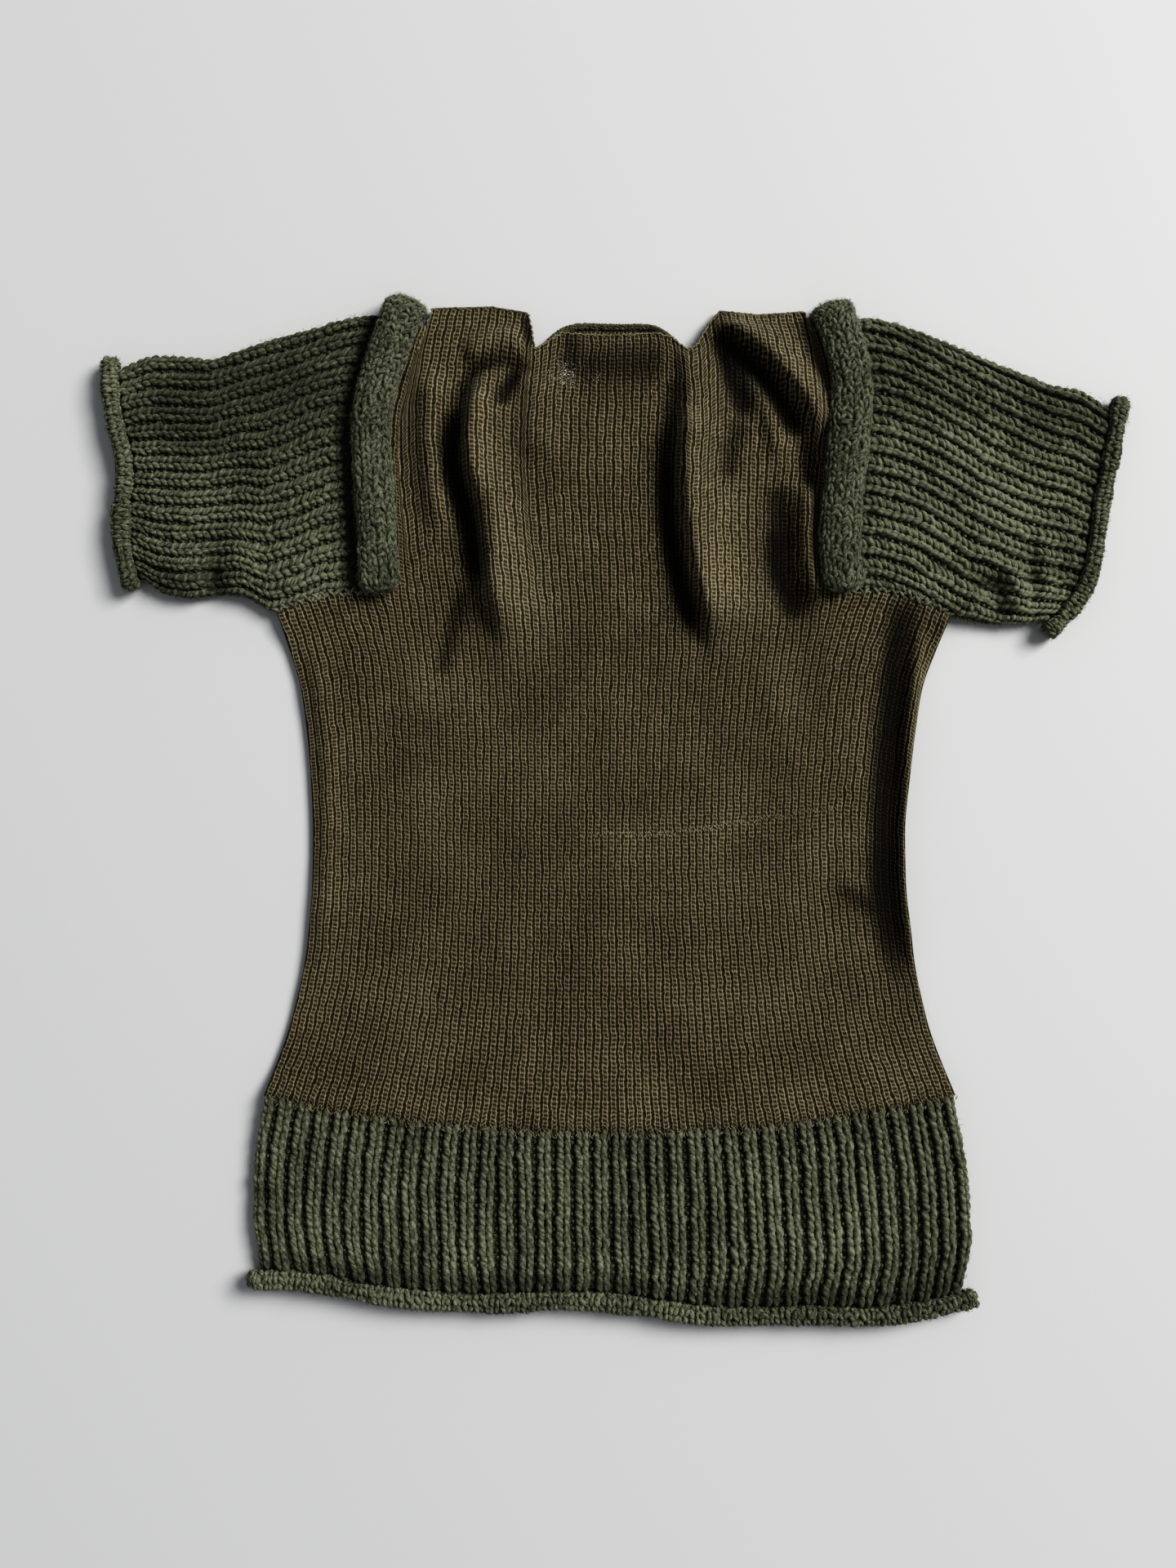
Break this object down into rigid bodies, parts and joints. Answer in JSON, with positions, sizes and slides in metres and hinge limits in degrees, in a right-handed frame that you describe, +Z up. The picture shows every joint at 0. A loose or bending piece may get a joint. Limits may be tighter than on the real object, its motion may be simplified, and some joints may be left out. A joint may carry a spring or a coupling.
{
  "type": "darned wool sweater",
  "caption": "Short-sleeved wool sweater laid flat, front up: fine knit body, heavy ribbed hem band and sleeves, rolled cuffs, rolled hem and thick rolled shoulder trims.",
  "frame": {"origin": "middle of the garment's outline, on the surface that it lies on", "axes": "+Z up off the surface, +Y from the hem towards the neck, +X to the right of a person who looks down at the laid-out front"},
  "size_m": [0.6268, 0.6286, 0.0215],
  "materials": {
    "fine_body_knit": "matte fine-gauge wool knit, olive brown, paired wale lines with small ladder holes",
    "turned_neck_edge": "matte turned edge of the fine knit, dark olive",
    "heavy_wool": "matte plied heather wool, dark green, fuzzy, chunky rib",
    "roll_wool": "matte plied heather wool, slightly lighter green, rolled stockinette"
  },
  "bodies": {
    "root": {"body_back": "fine_body_knit", "body_front": "fine_body_knit", "neck_edge_back": "turned_neck_edge", "hem_band": "heavy_wool", "hem_roll": "heavy_wool", "sleeve_left": "heavy_wool", "sleeve_right": "heavy_wool", "cuff_roll_left": "heavy_wool", "cuff_roll_right": "heavy_wool", "shoulder_roll_left": "roll_wool", "shoulder_roll_right": "roll_wool"}
  },
  "joints": []
}
